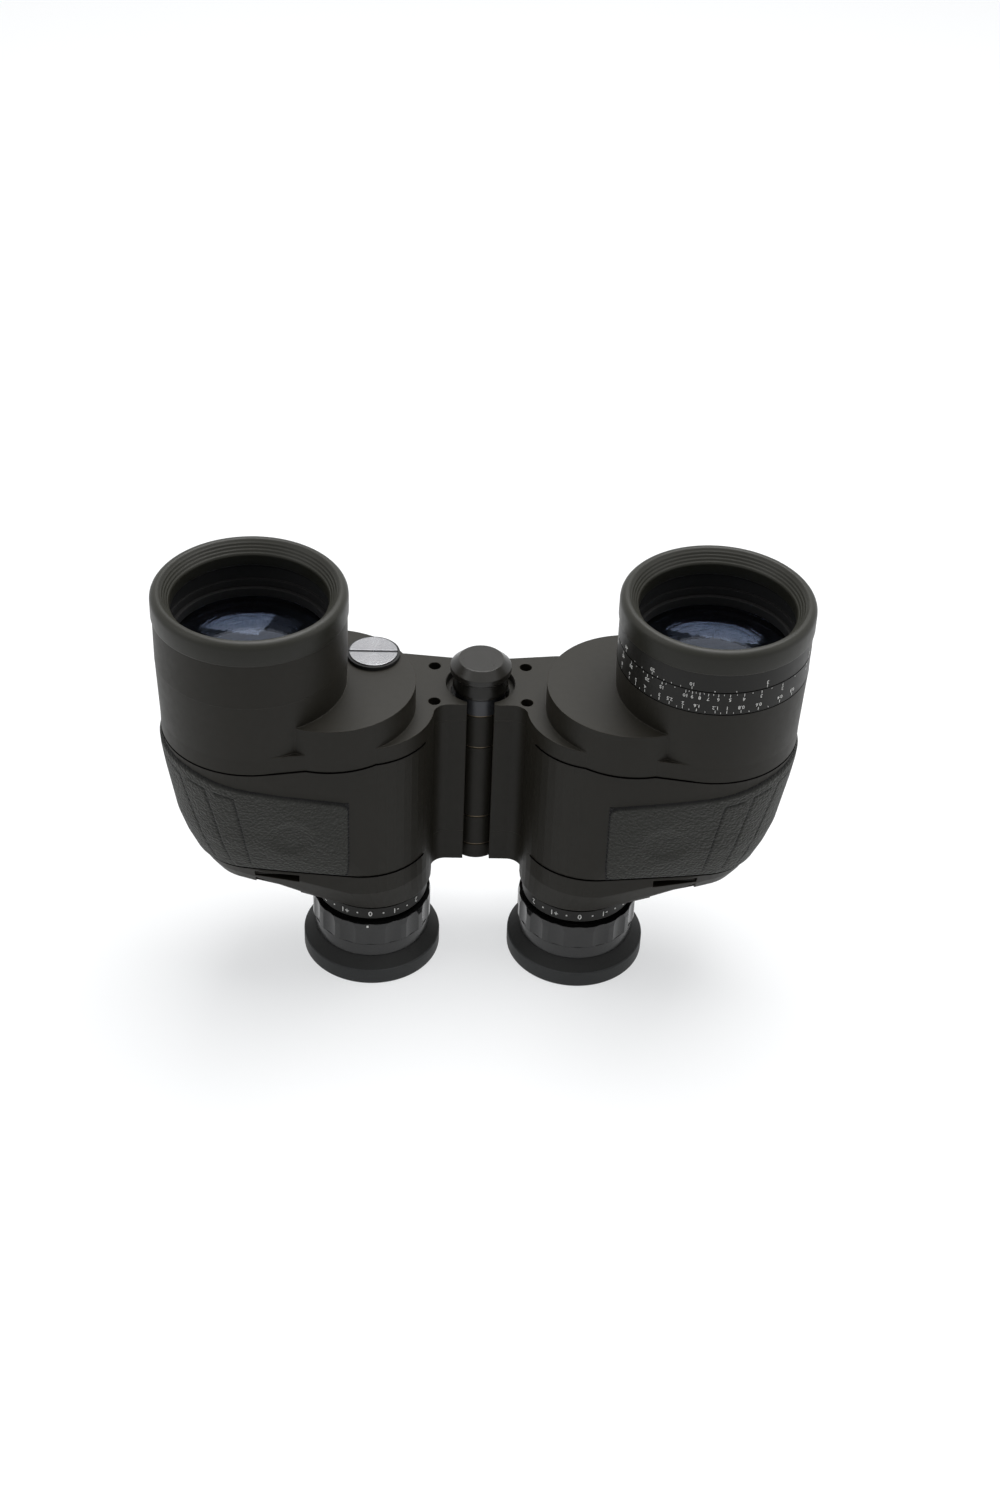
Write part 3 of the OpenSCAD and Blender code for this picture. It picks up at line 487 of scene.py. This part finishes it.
# %% [markdown]
# Each grip pad wraps the outer end of a prism housing. The housing's plan is a few circles
# with a belt pulled tight round them, and the outer circle shrinks downwards.

# %% The housing's wall
OBJECTIVE_X = centre_of("right_rim_ring").x
BARREL_R = 29.3 * MM
PAD_CENTRE_X = 56 * MM
DRAFT_SHARE = (0, 0.12, 0.27, 0.66, 0.82, 1)
DRAFT_LOSS = np.array((0.1, 0.4, 1.3, 4.2, 6.4, 9.8)) * MM
# The circles that don't shrink, each as x, y and radius: the eyepiece end and two back corners.
FIXED_CIRCLES = np.array(((38, 0, 23.3), (30, 20.6, 8), (58, 20.6, 8))) * MM


def outer_radius(z):
    """The outer circle's radius at height z: the barrel's less the draft."""
    share = (seam_high - z) / (seam_high - seam_low)
    return BARREL_R - np.interp(share, DRAFT_SHARE, DRAFT_LOSS)


NORMALS = np.linspace(-np.pi, np.pi, 361)
LEVELS = np.linspace(seam_low, seam_high, 41)


def belt_reach():
    """How far the wall reaches from the pad's centre line, by height and by normal direction.
    The belt at one height touches the circle that reaches furthest. The casting is convex from
    top to bottom as well, so each height also takes the straight line between any other two."""
    reach = (OBJECTIVE_X - PAD_CENTRE_X) * np.cos(NORMALS) + outer_radius(LEVELS)[:, None]
    for x, y, r in FIXED_CIRCLES:
        circle = (x - PAD_CENTRE_X) * np.cos(NORMALS) + y * np.sin(NORMALS) + r
        reach = np.maximum(reach, circle)
    full = reach.copy()
    for a in range(len(LEVELS)):
        for b in range(a + 1, len(LEVELS)):
            t = np.linspace(0, 1, b - a + 1)[:, None]
            full[a:b + 1] = np.maximum(full[a:b + 1], reach[a] * (1 - t) + reach[b] * t)
    return full


BELT = belt_reach()


def wall_distance(angle, z):
    """Distance of the wall from the pad's centre line, at pairs of angle and height: the least,
    over normal directions, of the reach at that height over the cosine of the angle between."""
    place = (z - LEVELS[0]) / (LEVELS[1] - LEVELS[0])
    below = np.clip(place.astype(int), 0, len(LEVELS) - 2)
    share = (place - below)[:, None]
    reach = BELT[below] * (1 - share) + BELT[below + 1] * share
    cosine = np.cos(angle[:, None] - NORMALS)
    return np.where(cosine > 0.05, reach / np.maximum(cosine, 0.05), 1).min(-1)


# %% [markdown]
# The pad is a grid over angle and height. A height field adds its thickness, rounded border,
# thumb dimple and the grooves that outline two panels; painted shade also darkens the rubber along the
# border and in the grooves.

# %% Grip pads
PAD_THICK = 0.8 * MM
PAD_LOW = seam_low + 0.3 * MM
PAD_HALF_ANGLE = 121.5
PAD_CORNER = 3 * MM
DIMPLE_X = 59.7 * MM
DIMPLE_Z = seam_low + 18.4 * MM
DIMPLE_R = 8.2 * MM
DIMPLE_DEPTH = 0.75 * MM
GROOVE_DEPTH = 0.4 * MM
GROOVE_HALF = 0.38 * MM
GROOVE_TOP_GAP = 4.6 * MM
# Each groove's angle at the pad's foot, its angle at the top, and how far it runs along the top.
GROOVES = ((90, 78, 12), (73, 59, 13), (58, 38, 40))
MM_PER_DEGREE = 0.5 * MM


def smooth(x):
    """Eases from 0 to 1 as x goes from 0 to 1."""
    x = np.clip(x, 0, 1)
    return x * x * (3 - 2 * x)


def pad_top(x):
    """Height of the pad's upper edge above a point x from the hinge."""
    return np.interp(x, np.array((42.6, 69.4, 91, 101)) * MM,
                     seam_high - np.array((14.3, 7.2, 2.6, 1.6)) * MM)


def pad_points(rows=90, columns=420):
    """Points of the right pad's outer face and how much painted shade darkens each, along the border and in
    the grooves. Each point lies at the wall's distance plus a lift: it rises from the border, sinks in the
    dimple as a smooth step of the distance from its centre, and sinks in each groove as a bell curve across
    its line."""
    across = np.radians(np.linspace(-PAD_HALF_ANGLE, PAD_HALF_ANGLE, columns))
    angle, share = np.meshgrid(across, np.linspace(0, 1, rows))
    x = PAD_CENTRE_X + 30 * MM * np.cos(angle)
    for _ in range(3):
        top = pad_top(x)
        z = PAD_LOW + share * (top - PAD_LOW)
        rho = np.stack([wall_distance(angle[row], z[row]) for row in range(rows)])
        x = PAD_CENTRE_X + rho * np.cos(angle)
    y = rho * np.sin(angle)
    along = np.hypot(x - x[:, :1], y - y[:, :1])
    back = np.hypot(x - x[:, -1:], y - y[:, -1:])
    edges = [np.minimum(along, back), top - z, z - PAD_LOW]
    side_gap = edges[0]
    border = np.minimum(side_gap, np.minimum(edges[1], edges[2]))
    for other in edges[1:]:
        near = (side_gap < PAD_CORNER) & (other < PAD_CORNER)
        round_gap = PAD_CORNER - np.hypot(PAD_CORNER - side_gap, PAD_CORNER - other)
        border = np.where(near, round_gap, border)
    lift = PAD_THICK * smooth((border - 0.45 * MM) / (0.5 * MM)) + 0.05 * MM
    # Painted shade: the colour is darkened along the border here, and in each groove below.
    crease_shade = 1 - smooth((border - 0.5 * MM) / (0.5 * MM))
    dimple = np.hypot(x - DIMPLE_X, z - DIMPLE_Z) / DIMPLE_R
    front = y < 0
    lift = lift - np.where(front, DIMPLE_DEPTH * (1 - smooth((dimple - 0.5) / 0.5)), 0)
    about = np.degrees(np.abs(np.arctan2(y, x - OBJECTIVE_X)))
    climb = (z - seam_low) / (seam_high - seam_low)
    for low_angle, high_angle, reach in GROOVES:
        side = low_angle + (high_angle - low_angle) * climb
        from_side = (about - side) * MM_PER_DEGREE
        from_top = (top - z) - GROOVE_TOP_GAP
        inside = np.minimum(-from_side, from_top)
        panel = (from_side < 0.6 * MM) & (from_top > -0.6 * MM) & (-from_side < reach * MM_PER_DEGREE)
        fade = smooth((z - PAD_LOW - 3 * MM) / (2 * MM))
        line = np.exp(-(inside / GROOVE_HALF) ** 2) * panel * fade
        lift = lift - GROOVE_DEPTH * line
        crease_shade = np.maximum(crease_shade, 0.9 * line)
    out_x = PAD_CENTRE_X + (rho + lift) * np.cos(angle)
    out_y = (rho + lift) * np.sin(angle)
    return np.stack([out_x, out_y, z], -1), crease_shade


def grip(side, points, crease_shade):
    """The pad as a closed skin, mirrored for the left half."""
    if side == "left":
        points = (points * np.array((-1, 1, 1)))[:, ::-1]
        crease_shade = crease_shade[:, ::-1]
    mesh = grid_mesh(f"{side}_grip_skin", points)
    # The painted shade is stored on the mesh as a point attribute, which the rubber's colour reads.
    mark = mesh.attributes.new("crease_shade", "FLOAT", "POINT")
    mark.data.foreach_set("value", crease_shade.ravel().astype(np.float32))
    piece = new_piece(f"{side}_grip_skin", mesh, finishes["grip_rubber"], f"{side}_half",
                      [f"{side}_grip_pad"])
    wall = piece.modifiers.new("thickness", "SOLIDIFY")
    wall.thickness = 0.9 * MM
    wall.offset = -1
    return piece


skin, skin_crease_shade = pad_points()
for side in ("left", "right"):
    print(grip(side, skin, skin_crease_shade).name, len(skin.reshape(-1, 3)), "points")

# %% [markdown]
# Two castings meet at each seam with a chamfer on both, which reads as a fine black line.
# A thin black band in the joint paints that line as shade: a small band that follows the wall.

# %% Painted seam shadows
# Painted shade: a near-black finish with no specular, for the bands that stand in for the shadow in each
# seam and joint.
seam_shadow_black = coat("seam_shadow_black", (0.001, 0.001, 0.001), (0.002, 0.002, 0.002), 0.9, specular=0.0)
SEAM_SHADOW_HALF = 0.26 * MM
SEAM_SHADOW_PROUD = 0.16 * MM
SEAM_SHADOW_SUNK = -0.5 * MM
PLATFORM_X = 48 * MM
PLATFORM_R = 27.3 * MM


def band(path_radius, angles, centre_x, z, half, proud, flip):
    """A thin band round a centre: its section is a box, proud of the wall and sunk behind it.
    A flipped band is the mirror image, with its rows turned round so that it faces outwards."""
    rows = []
    for up, out in ((-half, SEAM_SHADOW_SUNK), (-half, proud), (half, proud), (half, SEAM_SHADOW_SUNK)):
        radius = path_radius + out
        rows.append(np.stack([centre_x + radius * np.cos(angles), radius * np.sin(angles),
                              z + up + 0 * angles], -1))
    points = np.stack(rows)
    if flip:
        points = points * np.array((-1, 1, 1))
        points = points[::-1]
    return points


def platform_distance(angle):
    """Distance of the round platform's edge from the pad's centre line: the far root of the
    circle's equation along a ray at the angle."""
    shift = PAD_CENTRE_X - PLATFORM_X
    return np.sqrt(PLATFORM_R ** 2 - (shift * np.sin(angle)) ** 2) - shift * np.cos(angle)


def seam_shadow_strip(side, level, name):
    """A closed strip of painted shade round the outer wall of one half at a seam. The platform stands on
    the upper seam and reaches past the housing in places, so there the strip follows the platform."""
    angles = np.radians(np.linspace(-164, 150, 360))
    reach = wall_distance(angles, np.full(len(angles), level))
    if level == seam_high:
        reach = np.maximum(reach, platform_distance(angles))
    points = band(reach, angles, PAD_CENTRE_X, level, SEAM_SHADOW_HALF, SEAM_SHADOW_PROUD, side == "left")
    mesh = grid_mesh(f"{side}_{name}", points, close_rows=True, cap_ends=True)
    return new_piece(f"{side}_{name}", mesh, seam_shadow_black, f"{side}_half")


JOINT_R = BARREL_R + 0.8 * MM
JOINT_HALF = 0.13 * MM
JOINT_PROUD = 0.04 * MM


def ring_shadow_strip(side, level, name):
    """A fine black ring of painted shade at a joint of the barrel."""
    angles = np.linspace(0, 2 * np.pi, 180, endpoint=False)
    radius = np.full(len(angles), JOINT_R)
    points = band(radius, angles, OBJECTIVE_X, level, JOINT_HALF, JOINT_PROUD, side == "left")
    mesh = grid_mesh(f"{side}_{name}", points, close_rows=True, close_columns=True)
    return new_piece(f"{side}_{name}", mesh, seam_shadow_black, f"{side}_half")


# Painted shade at both seams of each half, and at the rim and ranging joints.
for side in ("left", "right"):
    seam_shadow_strip(side, seam_high, "upper_seam")
    seam_shadow_strip(side, seam_low, "lower_seam")
    ring_shadow_strip(side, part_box("right_rim_ring")[0].z, "rim_joint")
for name in ("ranging_ring", "range_scale"):
    print(ring_shadow_strip("right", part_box(name)[0].z, f"{name}_joint").name)

# %% [markdown]
# The scales are printed in white on black rings. Each mark is a thin raised film: text or a
# tick is made flat, then wrapped onto the ring, with its width turned into an angle.

# %% Wrapped print
ink, tree, shader = new_material("scale_ink")
ink_noise = add(tree, "ShaderNodeTexNoise", {"Vector": object_coords(tree), "Scale": 1500.0})
ink_tint = add(tree, "ShaderNodeMix", {0: ink_noise.outputs[0], 6: (0.62, 0.62, 0.6, 1),
                                       7: (0.8, 0.8, 0.78, 1)}, data_type="RGBA")
tree.links.new(ink_tint.outputs[2], shader.inputs["Base Color"])
shader.inputs["Roughness"].default_value = 0.5
INK_THICK = 0.05 * MM


def flat_text(words, size):
    """Points and faces of words, centred, as a thin slab."""
    curve = bpy.data.curves.new("words", "FONT")
    curve.body = words
    curve.size = size
    curve.align_x = "CENTER"
    curve.align_y = "CENTER"
    curve.extrude = INK_THICK
    curve.resolution_u = 2
    holder = bpy.data.objects.new("words", curve)
    bpy.context.scene.collection.objects.link(holder)
    bpy.context.view_layer.update()
    mesh = bpy.data.meshes.new_from_object(holder.evaluated_get(bpy.context.evaluated_depsgraph_get()))
    points = np.empty(len(mesh.vertices) * 3)
    mesh.vertices.foreach_get("co", points)
    faces = [tuple(p.vertices) for p in mesh.polygons]
    bpy.data.objects.remove(holder)
    bpy.data.meshes.remove(mesh)
    return points.reshape(-1, 3), faces


def flat_tick(width, height):
    """Points and faces of a thin upright bar."""
    x, y, z = width / 2, height / 2, INK_THICK
    points = np.array([(a * x, b * y, c * z) for c in (-1, 1) for b in (-1, 1) for a in (-1, 1)])
    faces = [(0, 2, 3, 1), (4, 5, 7, 6), (0, 1, 5, 4), (2, 6, 7, 3), (0, 4, 6, 2), (1, 3, 7, 5)]
    return points, faces


def wrap(points, centre, radius, degrees, z, upside_down=True):
    """Turns flat x into an angle about the axis, flat y into height, and thickness outwards."""
    if upside_down:
        points = points * np.array((-1, -1, 1))
    angle = math.radians(degrees) + points[:, 0] / radius
    reach = radius + points[:, 2]
    return np.stack([centre.x + reach * np.cos(angle), centre.y + reach * np.sin(angle),
                     z + points[:, 1]], -1)


def printed(name, marks, body):
    """Joins wrapped marks into one piece; each mark is its points and faces."""
    points, faces, count = [], [], 0
    for mark_points, mark_faces in marks:
        points.append(mark_points)
        faces += [tuple(i + count for i in face) for face in mark_faces]
        count += len(mark_points)
    mesh = bpy.data.meshes.new(name)
    mesh.from_pydata(np.vstack(points).tolist(), [], faces)
    return new_piece(name, mesh, ink, body)


def mark(shape, centre, radius, degrees, z):
    """A flat shape wrapped to its place, with its faces."""
    points, faces = shape
    return wrap(points, centre, radius, degrees, z), faces


# %% [markdown]
# Each eyepiece has a dioptre scale: nought in front, plus to one side and minus to the other,
# with a small tick between the numbers, and a white dot on the focus ring that points at it.

# %% Dioptre scales
FRONT = -90
DIOPTRE_STEP = 27
DIOPTRE_SIZE = 2.9 * MM
DIOPTRE_TICK = 0.5 * MM
FOCUS_DOT = 0.9 * MM


def dioptre_scale(side, dot_at):
    """Numbers and ticks on one scale ring, and the focus ring's dot, dot_at degrees from front."""
    centre = centre_of(f"{side}_scale_ring")
    low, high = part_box(f"{side}_scale_ring")
    radius = (high.x - low.x) / 2
    text_z = low.z + 2.1 * MM
    marks = []
    for words, place in (("2", -2), ("+1", -1), ("0", 0), ("-1", 1), ("2", 2)):
        shape = flat_text(words, DIOPTRE_SIZE)
        marks.append(mark(shape, centre, radius, FRONT + DIOPTRE_STEP * place, text_z))
    for place in (-1.5, -0.5, 0.5, 1.5):
        shape = flat_tick(DIOPTRE_TICK, DIOPTRE_TICK)
        marks.append(mark(shape, centre, radius, FRONT + DIOPTRE_STEP * place, text_z))
    printed(f"{side}_dioptre_marks", marks, f"{side}_half")
    ring_low, ring_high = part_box(f"{side}_focus_ring")
    lip = (ring_high.x - ring_low.x) / 2 - 0.28 * MM
    shape = flat_tick(FOCUS_DOT, FOCUS_DOT)
    dot = mark(shape, centre, lip, FRONT - dot_at, ring_high.z - 0.9 * MM)
    printed(f"{side}_focus_dot", [dot], f"{side}_focus")


dioptre_scale("left", 3)
dioptre_scale("right", 7)

# %% [markdown]
# The ranging scale is a slide rule bent round the barrel. A number's place is its logarithm,
# so equal ratios take equal angles on the fixed ring and on the turning one.

# %% Ranging scales
DEGREES_PER_DECADE = 86.4
RANGE_TEXT = 1.75 * MM
TICK_WIDTH = 0.16 * MM
LONG_TICK = 1.0 * MM
SHORT_TICK = 0.45 * MM
barrel = centre_of("ranging_ring")
ring_low, ring_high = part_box("ranging_ring")
ring_r = (ring_high.x - ring_low.x) / 2


def log_place(zero, value):
    """Angle of a value on a scale whose one stands at zero degrees; it falls as values grow."""
    return zero - DEGREES_PER_DECADE * math.log10(value)


def log_scale(zero, numbers, minor, text_z, tick_z, dot_z):
    """Numbers with long ticks, and short ticks between them."""
    out = []
    for value in numbers:
        place = log_place(zero, value)
        out.append(mark(flat_text(f"{value:g}", RANGE_TEXT), barrel, ring_r, place, text_z))
        out.append(mark(flat_tick(TICK_WIDTH, LONG_TICK), barrel, ring_r, place, tick_z))
    for value in minor:
        place = log_place(zero, value)
        out.append(mark(flat_tick(TICK_WIDTH, SHORT_TICK), barrel, ring_r, place, dot_z))
    return out


upper_zero = -98.4 + DEGREES_PER_DECADE * math.log10(7)
lower_zero = -86.9
fixed_zero = -108.4 + DEGREES_PER_DECADE
between = (1.5, 2.5, 3.5, 4.5, 5.5, 6.5, 7.5, 8.5, 9.5, 12, 14, 18, 22, 26)
seam = ring_high.z
turning = log_scale(upper_zero, (1, 2, 3, 4, 5, 6, 7, 8, 9, 10, 15, 20, 30, 40, 60, 80), between,
                    seam - 2.35 * MM, seam - 0.9 * MM, seam - 0.6 * MM)
turning += log_scale(lower_zero, (0.3, 0.4, 0.6, 0.8, 1, 1.2, 1.6, 2, 2.5, 3, 4, 5, 6, 8),
                     (0.5, 0.7, 0.9, 1.1, 1.4, 1.8, 2.2, 3.5, 4.5), ring_low.z + 2.75 * MM,
                     ring_low.z + 1.2 * MM, ring_low.z + 0.8 * MM)
print(printed("ranging_marks", turning, "ranging").name, len(turning), "marks")
fixed = log_scale(fixed_zero, (1, 3, 10, 20, 40, 80), (5, 7, 12, 14, 16, 18, 25, 30, 50, 60),
                  seam + 2.3 * MM, seam + 0.9 * MM, seam + 0.6 * MM)
print(printed("range_scale_marks", fixed, "right_half").name, len(fixed), "marks")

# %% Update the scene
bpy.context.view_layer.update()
